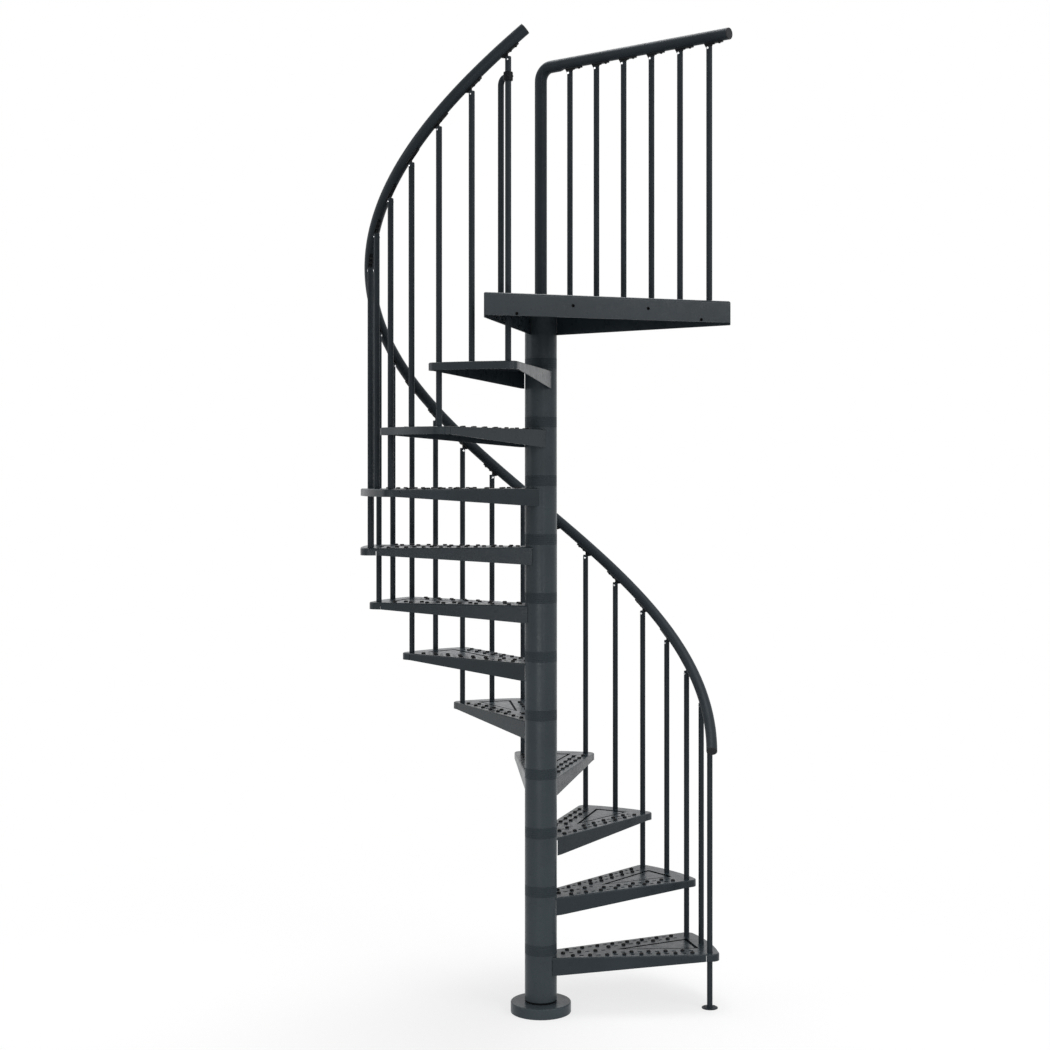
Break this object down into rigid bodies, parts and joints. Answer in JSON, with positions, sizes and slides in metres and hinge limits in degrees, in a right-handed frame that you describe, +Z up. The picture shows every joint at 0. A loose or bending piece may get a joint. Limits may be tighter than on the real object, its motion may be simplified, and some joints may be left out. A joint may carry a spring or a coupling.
{
  "type": "spiral staircase",
  "caption": "Outdoor spiral staircase in coated steel: folded pan treads on a sleeved column, tube balusters under a helical handrail, and a triangular landing with a guard rail.",
  "frame": {"origin": "centre of the column's base on the floor", "axes": "+Z up along the column, -Y out of the landing's fascia, towards the floor or balcony it is bolted to; the stair climbs counter-clockwise seen from above"},
  "size_m": [1.25, 1.2998, 3.2992],
  "materials": {
    "column_coat": "satin anthracite powder coat",
    "tread_coat": "satin anthracite powder coat",
    "rail_coat": "satin anthracite powder coat",
    "bracket_coat": "satin anthracite powder coat",
    "spacer_plastic": "moulded plastic",
    "cap_plastic": "moulded plastic"
  },
  "bodies": {
    "root": {"base_flange": "column_coat", "centre_pole": "column_coat", "column_cap": "column_coat", "column_sleeves": "column_coat", "corner_balusters": "rail_coat", "floor_post": "rail_coat", "floor_post_foot": "rail_coat", "guard_balusters": "rail_coat", "guard_post": "rail_coat", "guard_rail": "rail_coat", "guard_rail_brackets": "bracket_coat", "guard_rail_cap": "cap_plastic", "handrail": "rail_coat", "handrail_caps": "cap_plastic", "landing_deck": "tread_coat", "landing_link_post": "rail_coat", "link_clamp": "bracket_coat", "middle_balusters": "rail_coat", "spacer_rings": "spacer_plastic", "stair_rail_brackets": "bracket_coat", "tread_01": "tread_coat", "tread_02": "tread_coat", "tread_03": "tread_coat", "tread_04": "tread_coat", "tread_05": "tread_coat", "tread_06": "tread_coat", "tread_07": "tread_coat", "tread_08": "tread_coat", "tread_09": "tread_coat", "tread_10": "tread_coat", "tread_11": "tread_coat"}
  },
  "joints": []
}
